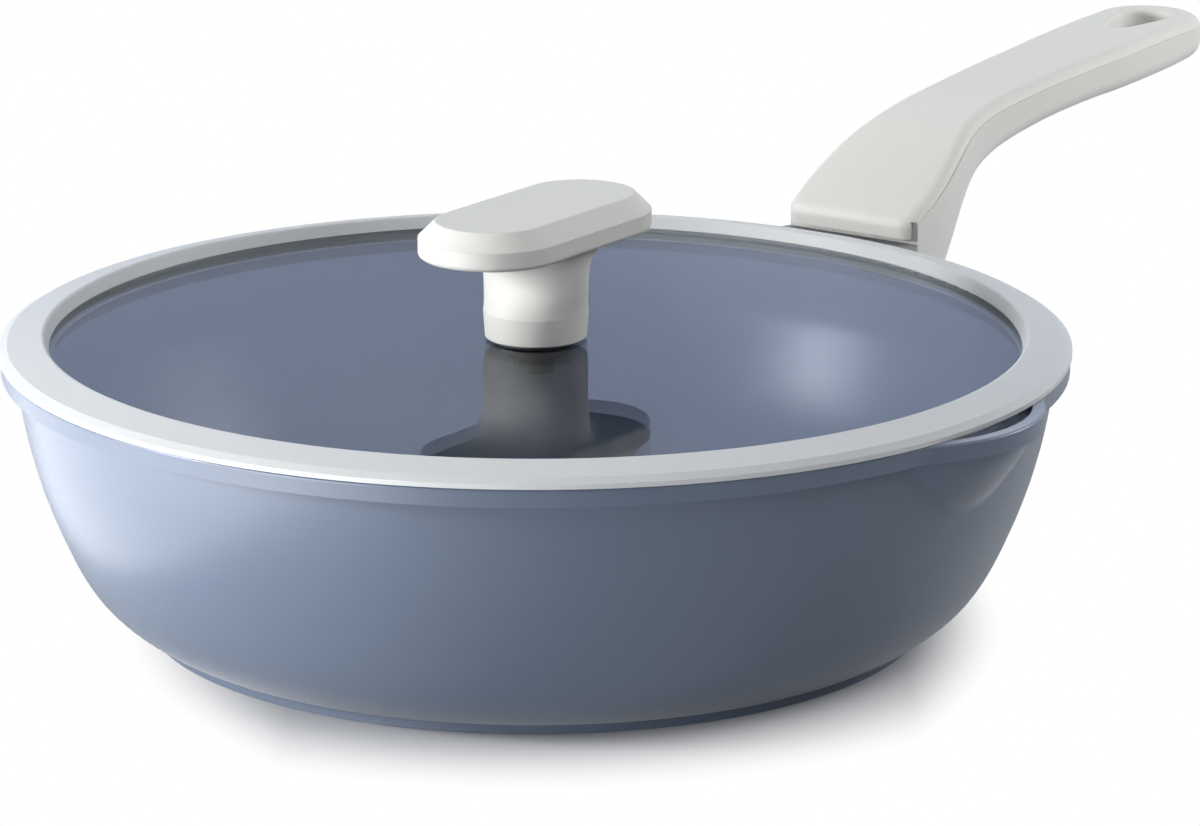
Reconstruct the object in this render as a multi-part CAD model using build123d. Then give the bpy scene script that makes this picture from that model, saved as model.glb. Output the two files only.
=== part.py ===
from build123d import *
import math
import os

# Saute pan with a flat glass lid. All lengths are in millimetres.
# The origin is the centre of the base, on the surface that the pan stands on.
# +X runs out along the handle, +Z is up, and the pouring spout faces -Y.

# Bowl
rim_outer_radius = 143.0
rim_land_width = 6.3
rim_band_height = 4.7
rim_band_step = 3.8
pan_height = 75.4
foot_radius = 105.4
foot_height = 3.0
floor_thickness = 5.2
rim_edge_round = 0.8

# Wall outlines, as shares of the radius gained and of the height climbed
outer_wall_shares = [(0.06, 0.0), (0.235, 0.053), (0.40, 0.127), (0.642, 0.334), (0.858, 0.629), (1.0, 1.0)]
inner_wall_shares = [(0.0, 0.0), (0.44, 0.118), (0.67, 0.29), (0.88, 0.575), (1.0, 1.0)]
inner_floor_radius_share = 0.955
inner_lean_share = 0.12

# Pouring spout
spout_reach = 8.3
spout_mouth_radius = 42.5
spout_wall = 3.4
spout_depth = 26.0
spout_corner_radius = 12.0
spout_bulge_inset = 1.6
spout_crease_round = 5.0

# Each spout section: share of the depth, of the mouth's radius and of how far the lip stands out from
# the wall, then how much of the spout's own wall comes off the radius and off the reach
spout_section_shares = [
    (0.0, 1.0, 1.0, 1.0, 1.0),
    (0.5, 0.93, 0.72, 0.8, 1.3),
    (0.77, 0.88, 0.41, 0.8, 1.5),
    (1.0, 0.8, 0.035, 0.8, 1.4)]

# Steel plate in the base, for induction
base_plate_from_foot = 13.4
base_plate_thickness = 1.2
base_plate_fit = 0.1
base_plate_hole_radius = 3.0
base_plate_hole_rings = [8, 14, 20]

# Cast pad on the wall, and the bracket that is screwed to it
pad_reach = 4.0
pad_half_width = 21.0
pad_height = 25.0
pad_edge_round = 3.0
bracket_depth = 13.3
bracket_front_half_width = 21.9
bracket_pan_half_width = 27.0
bracket_height = 28.0
bracket_top_below_rim = 2.0
tongue_length = 10.0
tongue_half_width = 6.5
tongue_height = 16.0
tongue_top_below_rim = 6.0

# Screws that hold the bracket to the pad
bracket_screw_radius = 2.5
bracket_screw_head_radius = 4.4
bracket_screw_head_height = 3.0
bracket_screw_grip = 9.0
bracket_screw_spread = 13.5
bracket_washer_radius = 4.6
bracket_washer_thickness = 1.2
thread_fit = 0.05
screw_hole_fit = 0.25
recess_fit = 0.35

# Handle
handle_nose_gap = 14.0
handle_length = 192.5
handle_bend_length = 68.0
handle_top_above_rim = 36.0
leg_below_rim = 28.0
nose_overhang = 3.2
nose_lip_below_rim = 0.3
nose_notch_from_front = 1.6
nose_notch_depth = 1.5
nose_notch_height = 5.0
upper_shell_thickness = 3.0
shell_seam_fit = 0.05
nose_corner_round = 5.0
handle_top_round = 4.2
handle_bottom_round = 4.8
leg_heel_round = 8.0
grip_tip_radius = 17.3
nose_half_width = 21.5

# Handle outlines: shares along the handle, then shares of its full height or of its half width.
# Along the handle, 0 to 1 runs over the bend and 1 to 2 over the grip. The side outline starts before
# the nose and ends past the tip, and the outline from above trims it.
top_line_shares = [
    (-0.0566, 0.484), (0.0736, 0.5641), (0.2205, 0.6453), (0.3972, 0.7484), (0.5441, 0.8203),
    (0.7352, 0.8766), (0.9999, 0.9125), (1.241, 0.9469), (1.5623, 0.9766), (2.0309, 1.0)]
bottom_line_shares = [
    (2.0309, 0.841), (1.8876, 0.7969), (1.6827, 0.7672), (1.4016, 0.7484), (1.1606, 0.7188),
    (1.008, 0.6813), (0.7853, 0.6312), (0.603, 0.5531), (0.4648, 0.4469), (0.3618, 0.325),
    (0.2559, 0.1766)]
heel_share = 0.1823
plan_line_shares = [
    (0.0, 1.0), (0.1475, 1.04), (0.295, 1.02), (0.4422, 0.94), (0.6338, 0.8),
    (0.8255, 0.736), (1.098, 0.722), (1.45, 0.775)]
downward_share = 0.1

# Hanging hole
hang_hole_length = 30.0
hang_hole_radius = 8.6
hang_hole_inner_radius = 4.0
hang_hole_from_tip = 7.8
hang_hole_edge_round = 1.6
tang_from_hang_hole = 8.7

# Steel tang that stiffens the handle: a flat tab on the tongue, then a strip up into the grip
tang_thickness = 2.0
tang_half_width = 7.0
tang_fit = 0.15
tang_tab_gap = 0.5
tang_tab_overhang = 2.0
tang_line_shares = [
    (0.3677, 0.4453), (0.5147, 0.5781), (0.6913, 0.6719), (0.9265, 0.75), (1.1606, 0.8094),
    (1.4016, 0.8406), (1.6264, 0.8516), (1.8, 0.856)]
tang_screw_radius = 2.0
tang_screw_head_radius = 3.6
tang_screw_head_height = 2.2
tang_screw_grip = 5.0

# Long screw that holds the handle on the bracket's tongue, from below
handle_screw_radius = 2.5
handle_screw_head_radius = 3.4
handle_screw_head_height = 2.8
handle_screw_grip = 6.0
handle_washer_radius = 3.7
handle_washer_thickness = 0.8
handle_screw_recess = 0.4

# Screws that close the two handle shells
shell_screw_radius = 1.6
shell_screw_head_radius = 3.0
shell_screw_head_height = 1.8
shell_screw_recess_depth = 4.0
shell_screw_bite = 4.2
shell_screw_past_bend = 1.3
shell_screw_from_tang_end = 15.1

# Drive recesses of the screws
drive_recess_share = 0.55
drive_depth_share = 0.6
head_edge_round = 0.4

# Lid glass
glass_thickness = 4.0
glass_top_above_rim = 1.0
glass_hole_radius = 5.2
glass_edge_round = 0.8

# Silicone ring round the glass
lid_seat_gap = 0.05
ring_overhang = 0.5
ring_skirt_gap = 1.2
ring_skirt_thickness = 2.25
ring_lip_thickness = 1.7
ring_glass_overlap_top = 3.0
ring_glass_overlap_bottom = 3.4
ring_crest_above_rim = 4.8
ring_crest_from_inner = 1.3
ring_shoulder_above_rim = 2.6
ring_shoulder_from_outer = 2.2
ring_edge_round = 0.7
ring_crest_round = 0.9
ring_fit = 0.05

# Knob
knob_height = 35.8
knob_length = 79.6
knob_width = 39.0
knob_plate_thickness = 9.8
knob_chamfer = 4.6
knob_chamfer_degrees = 45
knob_base_radius = 13.7
knob_foot_height = 7.4
knob_foot_top_radius = 14.2
knob_plate_edge_round = 1.4
knob_crown_edge_round = 0.9
knob_base_edge_round = 0.5
cap_seam_fit = 0.05
cap_peg_radius = 3.0
cap_peg_length = 3.6
cap_peg_spread = 25.0
cap_peg_fit = 0.05

# The stem above its foot is scooped for the fingers at both ends, then flares into the plate. Each
# section: share of the way up from the foot to the plate, then shares of the foot's top radius
# along and across the knob. The last section lies inside the plate.
knob_stem_shares = [
    (0.0, 1.0, 1.0), (0.2, 0.89, 1.03), (0.45, 0.82, 1.07), (0.68, 0.87, 1.09),
    (0.85, 1.05, 1.13), (1.03, 1.75, 1.26)]

# What fixes the knob to the glass
seal_radius = 12.8
seal_thickness = 0.6
bush_fit = 0.05
insert_radius = 4.6
insert_length = 14.0
insert_flange_radius = 5.6
insert_flange_height = 1.6
insert_fit = 0.03
under_gasket_radius = 9.5
under_gasket_thickness = 1.0
lid_washer_radius = 9.0
lid_washer_thickness = 1.2
lid_lock_washer_radius = 5.2
lid_lock_washer_thickness = 1.3
lid_lock_washer_split = 0.9
lid_screw_radius = 2.95
lid_screw_head_radius = 5.4
lid_screw_head_height = 3.6
lid_screw_bite = 11.0

# Overrun of every cut past the face that it opens
overrun = 1.0

# Heights and places that follow from the sizes above
rim_z = pan_height
band_bottom_z = rim_z - rim_band_height
rim_inner_radius = rim_outer_radius - rim_land_width
wall_top_radius = rim_outer_radius - rim_band_step
base_plate_radius = foot_radius - base_plate_from_foot
pad_face_x = rim_outer_radius + pad_reach
handle_nose_x = rim_outer_radius + handle_nose_gap
handle_tip_x = handle_nose_x + handle_length
tang_end_x = handle_tip_x - hang_hole_from_tip - hang_hole_length - tang_from_hang_hole
leg_bottom_z = rim_z - leg_below_rim
handle_height = leg_below_rim + handle_top_above_rim
bracket_face_x = pad_face_x + bracket_depth
shell_front_x = bracket_face_x + shell_seam_fit
tongue_top_z = rim_z - tongue_top_below_rim
tongue_bottom_z = tongue_top_z - tongue_height
tongue_middle_x = bracket_face_x + tongue_length / 2
tongue_end_x = bracket_face_x + tongue_length
tang_tab_x = bracket_face_x + tang_tab_gap
tang_bend_x = tongue_end_x + tang_tab_overhang
handle_seat_z = leg_bottom_z + handle_screw_recess + handle_screw_head_height + handle_washer_thickness
ring_outer_radius = rim_outer_radius + ring_overhang
glass_radius = rim_inner_radius - ring_skirt_gap - ring_skirt_thickness - ring_fit
glass_top_z = rim_z + glass_top_above_rim
glass_bottom_z = glass_top_z - glass_thickness
knob_base_z = glass_top_z + seal_thickness
knob_top_z = knob_base_z + knob_height
knob_plate_z = knob_top_z - knob_plate_thickness
knob_seam_z = knob_top_z - knob_chamfer
gasket_bottom_z = glass_bottom_z - under_gasket_thickness
washer_bottom_z = gasket_bottom_z - lid_washer_thickness
lock_washer_bottom_z = washer_bottom_z - lid_lock_washer_thickness


def save(solid, node):
    """Write one sub-part under its node name."""
    solid.label = node
    export_step(solid, os.path.join("parts", node + ".step"))


def ring_of(outer, inner, bottom, height, x=0.0, y=0.0):
    """A flat ring or tube standing on the height named bottom."""
    tube = Pos(x, y, bottom) * extrude(Circle(outer), height)
    hole = Pos(x, y, bottom - overrun) * extrude(Circle(inner), height + 2 * overrun)
    return tube - hole


def pin_up(radius, bottom, height, x=0.0, y=0.0):
    """A round pin or drill standing on the height named bottom."""
    return Pos(x, y, bottom) * extrude(Circle(radius), height)


def spline_between(shares, place, **ends):
    """A smooth line through places worked out from a list of shares."""
    return Spline(*[place(*share) for share in shares], **ends)


# Pan body

def outer_wall_point(radius_share, height_share):
    radius = foot_radius + radius_share * (wall_top_radius - foot_radius)
    height = foot_height + height_share * (band_bottom_z - foot_height)
    return (radius, 0, height)


def inner_wall_point(radius_share, height_share):
    floor_radius = foot_radius * inner_floor_radius_share
    radius = floor_radius + radius_share * (rim_inner_radius - floor_radius)
    height = floor_thickness + height_share * (rim_z - floor_thickness)
    return (radius, 0, height)


def turned(face):
    return revolve(face, Axis.Z, 360)


def outer_bowl():
    """The outside of the bowl, solid, up to the rim."""
    wall = spline_between(outer_wall_shares, outer_wall_point)
    foot = Polyline((0, 0, 0), (foot_radius, 0, 0), (foot_radius, 0, foot_height), wall @ 0)
    top = Polyline(wall @ 1, (wall_top_radius, 0, rim_z), (0, 0, rim_z), (0, 0, 0))
    return turned(make_face(Wire([*foot.edges(), wall, *top.edges()])))


def inner_bowl():
    """The space inside the bowl, open past the rim."""
    leans = ((1, 0, 0), (inner_lean_share, 0, 1))
    wall = spline_between(inner_wall_shares, inner_wall_point, tangents=leans)
    floor = Line((0, 0, floor_thickness), wall @ 0)
    mouth_z = rim_z + overrun
    top = Polyline(wall @ 1, (rim_inner_radius, 0, mouth_z), (0, 0, mouth_z), (0, 0, floor_thickness))
    return turned(make_face(Wire([floor, wall, *top.edges()])))


def rim_band():
    """The raised band round the rim, with the spout's mouth blended into it."""
    mouth_y = spout_mouth_radius - rim_outer_radius - spout_reach
    plan = Circle(rim_outer_radius) + Pos(0, mouth_y) * Circle(spout_mouth_radius)
    band = Pos(0, 0, band_bottom_z) * extrude(plan, rim_band_height)
    band = fillet(band.edges().filter_by(Axis.Z).sort_by(Axis.Y)[:2], spout_corner_radius)
    return fillet(band.edges().group_by(Axis.Z)[-1], rim_edge_round)


def wall_radius(height):
    """Outer radius of the bowl at a height, without the band."""
    if height >= band_bottom_z:
        return wall_top_radius
    wall = spline_between(outer_wall_shares, outer_wall_point)
    level = Line((0, 0, height), (rim_outer_radius, 0, height))
    return wall.intersect(level).vertices()[0].X


def spout_shape(wall):
    """The spout's bulge, or with a wall its channel: circles that shrink and draw in."""
    faces = []
    for depth_share, radius_share, reach_share, off_radius_share, off_reach_share in spout_section_shares:
        radius = spout_mouth_radius * radius_share - wall * off_radius_share
        height = rim_z - spout_depth * depth_share
        stands_out = (rim_band_step + spout_reach) * reach_share
        tip = wall_radius(height) + stands_out - wall * off_reach_share
        faces.append(Pos(0, radius - tip, height) * Circle(radius))
    return loft(faces)


def mounting_pad():
    """The cast pad under the rim that the bracket is screwed to."""
    top = band_bottom_z
    deep = pad_face_x - rim_inner_radius + rim_land_width
    block = Pos(pad_face_x - deep / 2, 0, top - pad_height / 2) * Box(deep, 2 * pad_half_width, pad_height)
    outer_edges = block.edges().filter_by(Axis.Z).group_by(Axis.X)[-1]
    return fillet(outer_edges, pad_edge_round)


def bracket_screw_places():
    """Height and sideways places of the two bracket screws."""
    height = band_bottom_z - pad_height / 2
    return [(side * bracket_screw_spread, height) for side in (-1, 1)]


def along_x(radius, start_x, length, y, z):
    """A round pin or drill lying along the handle's axis."""
    return Pos(start_x, y, z) * Rot(0, 90, 0) * extrude(Circle(radius), length)


def outside_of_pan():
    """The bowl, its rim band, the pad and the spout's bulge, which blends into the wall."""
    body = outer_bowl() + rim_band() + mounting_pad() + spout_shape(spout_bulge_inset)
    below_band = [edge for edge in body.edges() if edge.center().Z < band_bottom_z - rim_edge_round]
    crease = min(below_band, key=lambda edge: edge.center().Y)
    return fillet(crease, spout_crease_round)


def pan_body():
    body = outside_of_pan() - inner_bowl()
    body -= spout_shape(spout_wall)
    mouth_y = spout_mouth_radius - rim_outer_radius - spout_reach
    body -= pin_up(spout_mouth_radius - spout_wall, rim_z, overrun, 0, mouth_y)
    body -= pin_up(base_plate_radius + base_plate_fit, -overrun, overrun + base_plate_thickness)
    for y, z in bracket_screw_places():
        hole_start = pad_face_x - bracket_screw_grip
        body -= along_x(bracket_screw_radius + thread_fit, hole_start, 2 * bracket_screw_grip, y, z)
    return body


def base_plate():
    plate = pin_up(base_plate_radius, 0, base_plate_thickness)
    rings = len(base_plate_hole_rings)
    for number, count in enumerate(base_plate_hole_rings):
        radius = base_plate_radius * (number + 1) / (rings + 1)
        for step in range(count):
            angle = 2 * math.pi * step / count
            x = radius * math.cos(angle)
            y = radius * math.sin(angle)
            plate -= pin_up(base_plate_hole_radius, -overrun, base_plate_thickness + 2 * overrun, x, y)
    return plate


# Bracket and its screws

def bracket():
    """Cast bracket: a block that widens to the pan, and a tongue that enters the handle."""
    top = rim_z - bracket_top_below_rim
    front = bracket_front_half_width
    back = bracket_pan_half_width
    plan = make_face(Polyline((pad_face_x, back), (bracket_face_x, front), (bracket_face_x, -front),
                              (pad_face_x, -back), close=True))
    block = Pos(0, 0, top - bracket_height) * extrude(plan, bracket_height)
    tongue = Pos(tongue_middle_x, 0, tongue_bottom_z + tongue_height / 2) * Box(
        tongue_length, 2 * tongue_half_width, tongue_height)
    solid = block + tongue
    for y, z in bracket_screw_places():
        seat_x = bracket_face_x - bracket_screw_head_height - bracket_washer_thickness
        solid -= along_x(bracket_screw_radius + screw_hole_fit, pad_face_x - overrun, bracket_depth, y, z)
        solid -= along_x(bracket_washer_radius + recess_fit, seat_x, bracket_depth, y, z)
    solid -= pin_up(handle_screw_radius + thread_fit, tongue_bottom_z - overrun,
                    handle_screw_grip + 2 * overrun, tongue_middle_x)
    solid -= pin_up(tang_screw_radius + thread_fit, tongue_top_z - tang_screw_grip - overrun,
                    tang_screw_grip + 2 * overrun, tongue_middle_x)
    return solid


def drive_hex(radius):
    return RegularPolygon(radius * drive_recess_share, 6)


def bracket_screws():
    screws = []
    seat_x = bracket_face_x - bracket_screw_head_height
    for y, z in bracket_screw_places():
        shank = along_x(bracket_screw_radius, pad_face_x - bracket_screw_grip + overrun,
                        seat_x - pad_face_x + bracket_screw_grip - overrun, y, z)
        head = along_x(bracket_screw_head_radius, seat_x, bracket_screw_head_height, y, z)
        depth = bracket_screw_head_height * drive_depth_share
        socket = Pos(bracket_face_x - depth, y, z) * Rot(0, 90, 0) * extrude(
            drive_hex(bracket_screw_head_radius), 2 * depth)
        screws.append(shank + head - socket)
    return Compound(screws)


def bracket_washers():
    washers = []
    seat_x = bracket_face_x - bracket_screw_head_height - bracket_washer_thickness
    for y, z in bracket_screw_places():
        disc = along_x(bracket_washer_radius, seat_x, bracket_washer_thickness, y, z)
        hole = along_x(bracket_screw_radius + screw_hole_fit, seat_x - overrun,
                       bracket_washer_thickness + 2 * overrun, y, z)
        washers.append(disc - hole)
    return Compound(washers)


# Handle shells

def along_handle(share):
    """A place along the handle: 0 to 1 over the bend, 1 to 2 over the grip."""
    grip_length = handle_length - handle_bend_length
    return handle_nose_x + min(share, 1) * handle_bend_length + max(share - 1, 0) * grip_length


def handle_point(length_share, height_share):
    return (along_handle(length_share), 0, leg_bottom_z + height_share * handle_height)


def plan_point(length_share, width_share):
    return (along_handle(length_share), width_share * nose_half_width, 0)


def first_run(places):
    """The direction from the first place to the second."""
    return (Vector(places[1]) - Vector(places[0])).normalized()


def plan_face(corner_round):
    """The handle from above: wide at the nose, waisted, with a round tip."""
    tip_start = (handle_tip_x - grip_tip_radius, grip_tip_radius, 0)
    left_places = [plan_point(*share) for share in plan_line_shares] + [tip_start]
    right_places = [(x, -y, z) for x, y, z in left_places]
    left = Spline(*left_places, tangents=(first_run(left_places), (1, 0, 0)))
    right = Spline(*right_places, tangents=(first_run(right_places), (1, 0, 0)))
    tip = ThreePointArc(left @ 1, (handle_tip_x, 0, 0), right @ 1)
    nose = Line(right @ 0, left @ 0)
    face = make_face([left, tip, right, nose])
    if corner_round:
        face = fillet(face.vertices().group_by(Axis.X)[0], corner_round)
    return face


def top_line():
    """The handle's top edge seen from the side."""
    places = [handle_point(*share) for share in top_line_shares]
    return Spline(*places, tangents=(first_run(places), (1, 0, 0)))


def side_face():
    """The handle from the side: the plate's slope, the grip and the leg in front of the pan."""
    top = top_line()
    heel = handle_point(heel_share, 0)
    under = Spline(*[handle_point(*share) for share in bottom_line_shares], heel)
    tip = Line(top @ 1, under @ 0)
    front = top @ 0
    leg = Polyline(heel, (front.X, 0, leg_bottom_z), front)
    face = make_face([top, tip, under, *leg.edges()])
    corner = face.vertices().sort_by_distance(heel)[0]
    return fillet(corner, leg_heel_round)


def seam_face(drop):
    """Everything below the handle's top line, lowered by the drop."""
    line = Pos(0, 0, -drop) * top_line()
    start = line @ 0
    end = line @ 1
    low_z = leg_bottom_z - overrun
    rest = Polyline(end, (end.X + overrun, 0, end.Z), (end.X + overrun, 0, low_z),
                    (start.X - overrun, 0, low_z), (start.X - overrun, 0, start.Z), start)
    return make_face([line, *rest.edges()])


def both_sides(face, half_width):
    """A face on the middle plane made into a solid that reaches both sides."""
    return Pos(0, half_width, 0) * extrude(face, 2 * half_width, dir=(0, -1, 0))


def below_seam(drop):
    return both_sides(seam_face(drop), 2 * nose_half_width)


def handle_envelope(corner_round):
    """The whole outside of the handle with sharp edges, before it is split."""
    tall = Pos(0, 0, leg_bottom_z - overrun) * extrude(plan_face(corner_round), handle_height + 2 * overrun)
    return (both_sides(side_face(), 2 * nose_half_width) & tall).solid()


def hang_hole():
    """The tear-shaped hole through the end of the grip: two arcs joined by their tangents."""
    far = handle_tip_x - hang_hole_from_tip - hang_hole_radius
    near = handle_tip_x - hang_hole_from_tip - hang_hole_length + hang_hole_inner_radius
    lean = (hang_hole_inner_radius - hang_hole_radius) / (far - near)
    upright = math.sqrt(1 - lean * lean)
    wide_x = far + lean * hang_hole_radius
    wide_y = upright * hang_hole_radius
    narrow_x = near + lean * hang_hole_inner_radius
    narrow_y = upright * hang_hole_inner_radius
    outline = [ThreePointArc((wide_x, -wide_y), (far + hang_hole_radius, 0), (wide_x, wide_y)),
               Line((wide_x, wide_y), (narrow_x, narrow_y)),
               ThreePointArc((narrow_x, narrow_y), (near - hang_hole_inner_radius, 0), (narrow_x, -narrow_y)),
               Line((narrow_x, -narrow_y), (wide_x, -wide_y))]
    return Pos(0, 0, rim_z) * extrude(make_face(outline), handle_top_above_rim + overrun)


def with_hang_hole(shell, outer_side):
    """The shell with the hanging hole, rounded on its outer side: 1 for the top, -1 for the underside."""
    cut = shell - hang_hole()
    middle_x = handle_tip_x - hang_hole_from_tip - hang_hole_length / 2
    mouths = []
    for edge in cut.edges():
        middle = edge.center()
        beside = abs(middle.Y) < hang_hole_radius + thread_fit
        along = abs(middle.X - middle_x) < hang_hole_length / 2 + thread_fit
        if beside and along and edge.geom_type != GeomType.LINE:
            mouths.append(edge)
    mouths.sort(key=lambda edge: outer_side * edge.center().Z)
    return fillet(mouths[len(mouths) // 2:], hang_hole_edge_round)


def tang_line(lift):
    """The tang's underside from the bend to its end, raised by the lift."""
    places = [handle_point(*share) for share in tang_line_shares]
    line = Spline((tang_bend_x, 0, tongue_top_z), *places, tangents=((1, 0, 0), (1, 0, 0)))
    return Pos(0, 0, lift) * line


def space_over_tang(lift, front_x, end_x, half_width):
    """Everything over the tang's underside raised by the lift, between two places along the handle."""
    line = tang_line(lift)
    bend = line @ 0
    end = line @ 1
    high_z = rim_z + handle_top_above_rim + overrun
    rest = Polyline(end, (end.X, 0, high_z), (front_x, 0, high_z), (front_x, 0, bend.Z), bend)
    return both_sides(make_face([line, *rest.edges()]), half_width) - beyond(end_x)


def beyond(x):
    """Everything past a place along the handle."""
    return Pos(x, 0, rim_z) * Box(handle_length, handle_length, handle_length,
                                  align=(Align.MIN, Align.CENTER, Align.CENTER))


def shell_screw_places():
    return [along_handle(1) + shell_screw_past_bend, tang_end_x - shell_screw_from_tang_end]


def underside_z(x):
    """Height of the grip's underside at a place along the handle, before its edges are rounded."""
    under = spline_between(bottom_line_shares, handle_point)
    upright = Line((x, 0, leg_bottom_z), (x, 0, rim_z + handle_top_above_rim))
    return under.intersect(upright).vertices()[0].Z


def tang_top_z(x):
    """Height of the tang's top face at a place along the handle."""
    upright = Line((x, 0, leg_bottom_z), (x, 0, rim_z + handle_top_above_rim))
    return tang_line(tang_thickness).intersect(upright).vertices()[0].Z


def round_underside(shell):
    """Round the long lower edges of the leg and the grip in one chain."""
    chain = []
    for face in shell.faces():
        if face.normal_at().Z < -downward_share:
            chain += [edge for edge in face.edges() if edge.geom_type != GeomType.LINE]
    return fillet(chain, handle_bottom_round)


def handle_upper_shell():
    """Top shell: the plate over the whole handle, its lip over the bracket and a rib down to the tang."""
    whole = handle_envelope(nose_corner_round)
    whole = fillet(whole.faces().sort_by(Axis.Z)[-1].edges(), handle_top_round)
    shell = whole - below_seam(upper_shell_thickness)
    lip_bottom = rim_z - nose_lip_below_rim
    lip_space = Pos(handle_nose_x, 0, lip_bottom) * Box(
        2 * nose_overhang, 4 * nose_half_width, handle_height, align=(Align.CENTER, Align.CENTER, Align.MIN))
    shell += whole & lip_space
    notch_x = handle_nose_x + nose_notch_from_front
    for side in (-1, 1):
        notch_middle_y = side * (nose_half_width + nose_notch_depth)
        shell -= Pos(notch_x, notch_middle_y, lip_bottom - nose_notch_height) * Box(
            shell_front_x - notch_x, 4 * nose_notch_depth, 2 * nose_notch_height,
            align=(Align.MIN, Align.CENTER, Align.MIN))
    rib = space_over_tang(tang_thickness + tang_fit, shell_front_x, tang_end_x + tang_fit, tang_half_width)
    shell += rib & below_seam(upper_shell_thickness / 2)
    shell -= pin_up(tang_screw_head_radius + recess_fit, tongue_top_z,
                    tang_thickness + tang_screw_head_height + recess_fit, tongue_middle_x)
    for x in shell_screw_places():
        shell -= pin_up(shell_screw_radius + thread_fit, leg_bottom_z,
                        tang_top_z(x) + shell_screw_bite - leg_bottom_z, x)
    return with_hang_hole(shell, 1)


def handle_lower_shell():
    """Bottom shell: the leg with a socket for the tongue, and the grip with a channel for the tang."""
    shell = round_underside(handle_envelope(0)) & below_seam(upper_shell_thickness + shell_seam_fit)
    shell -= Pos(shell_front_x - handle_height, 0, rim_z) * Box(
        2 * handle_height, 4 * nose_half_width, 4 * handle_height)
    shell -= space_over_tang(-tang_fit, shell_front_x - overrun, tang_end_x + 2 * tang_fit,
                             tang_half_width + tang_fit)
    socket_length = tongue_end_x + tang_fit - shell_front_x + overrun
    shell -= Pos(shell_front_x - overrun, 0, tongue_bottom_z - tang_fit) * Box(
        socket_length, 2 * (tongue_half_width + tang_fit), tongue_height + tang_fit,
        align=(Align.MIN, Align.CENTER, Align.MIN))
    shell -= pin_up(handle_screw_radius + screw_hole_fit, leg_bottom_z - overrun,
                    tongue_bottom_z - leg_bottom_z + 2 * overrun, tongue_middle_x)
    shell -= pin_up(handle_washer_radius + recess_fit, leg_bottom_z - overrun,
                    handle_seat_z - leg_bottom_z + overrun, tongue_middle_x)
    for x in shell_screw_places():
        shell -= pin_up(shell_screw_radius + screw_hole_fit, leg_bottom_z, handle_height, x)
        shell -= pin_up(shell_screw_head_radius + recess_fit, leg_bottom_z,
                        underside_z(x) + shell_screw_recess_depth - leg_bottom_z, x)
    return with_hang_hole(shell, -1)


def handle_tang():
    """Pressed steel strip with a flat tab on the tongue."""
    low = tang_line(0)
    high = tang_line(tang_thickness)
    tab = Polyline(low @ 0, (tang_tab_x, 0, tongue_top_z), (tang_tab_x, 0, tongue_top_z + tang_thickness),
                   high @ 0)
    end = Line(low @ 1, high @ 1)
    strip = both_sides(make_face([low, end, high, *tab.edges()]), tang_half_width) - beyond(tang_end_x)
    strip -= pin_up(tang_screw_radius + screw_hole_fit, tongue_top_z - overrun,
                    tang_thickness + 2 * overrun, tongue_middle_x)
    for x in shell_screw_places():
        strip -= pin_up(shell_screw_radius + screw_hole_fit, leg_bottom_z, handle_height, x)
    return strip


def screw_from_below(seat_z, radius, length, head_radius, head_height, x=0.0):
    """A socket screw with its head under the seat and its shank above."""
    head = pin_up(head_radius, seat_z - head_height, head_height, x)
    head = fillet(head.edges().sort_by(Axis.Z)[0], head_edge_round)
    depth = head_height * drive_depth_share
    socket = Pos(x, 0, seat_z - head_height - depth) * extrude(drive_hex(head_radius), 2 * depth)
    return head + pin_up(radius, seat_z, length, x) - socket


def tang_screw():
    seat_z = tongue_top_z + tang_thickness
    head = pin_up(tang_screw_head_radius, seat_z, tang_screw_head_height, tongue_middle_x)
    head = fillet(head.edges().sort_by(Axis.Z)[-1], head_edge_round)
    length = tang_thickness + tang_screw_grip
    depth = tang_screw_head_height * drive_depth_share
    socket = Pos(tongue_middle_x, 0, seat_z + tang_screw_head_height - depth) * extrude(
        drive_hex(tang_screw_head_radius), 2 * depth)
    return head + pin_up(tang_screw_radius, seat_z - length, length, tongue_middle_x) - socket


def handle_screw():
    under_washer_z = handle_seat_z - handle_washer_thickness
    length = tongue_bottom_z + handle_screw_grip - under_washer_z
    return screw_from_below(under_washer_z, handle_screw_radius, length, handle_screw_head_radius,
                            handle_screw_head_height, tongue_middle_x)


def handle_washer():
    return ring_of(handle_washer_radius, handle_screw_radius + screw_hole_fit,
                   handle_seat_z - handle_washer_thickness, handle_washer_thickness, tongue_middle_x)


def shell_screws():
    screws = []
    for x in shell_screw_places():
        seat_z = underside_z(x) + shell_screw_recess_depth
        length = tang_top_z(x) + shell_screw_bite - seat_z - tang_fit
        screws.append(screw_from_below(seat_z, shell_screw_radius, length, shell_screw_head_radius,
                                       shell_screw_head_height, x))
    return Compound(screws)


# Lid

def lid_glass():
    disc = pin_up(glass_radius, glass_bottom_z, glass_thickness)
    disc = fillet(disc.edges(), glass_edge_round)
    return disc - pin_up(glass_hole_radius, glass_bottom_z - overrun, glass_thickness + 2 * overrun)


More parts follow.
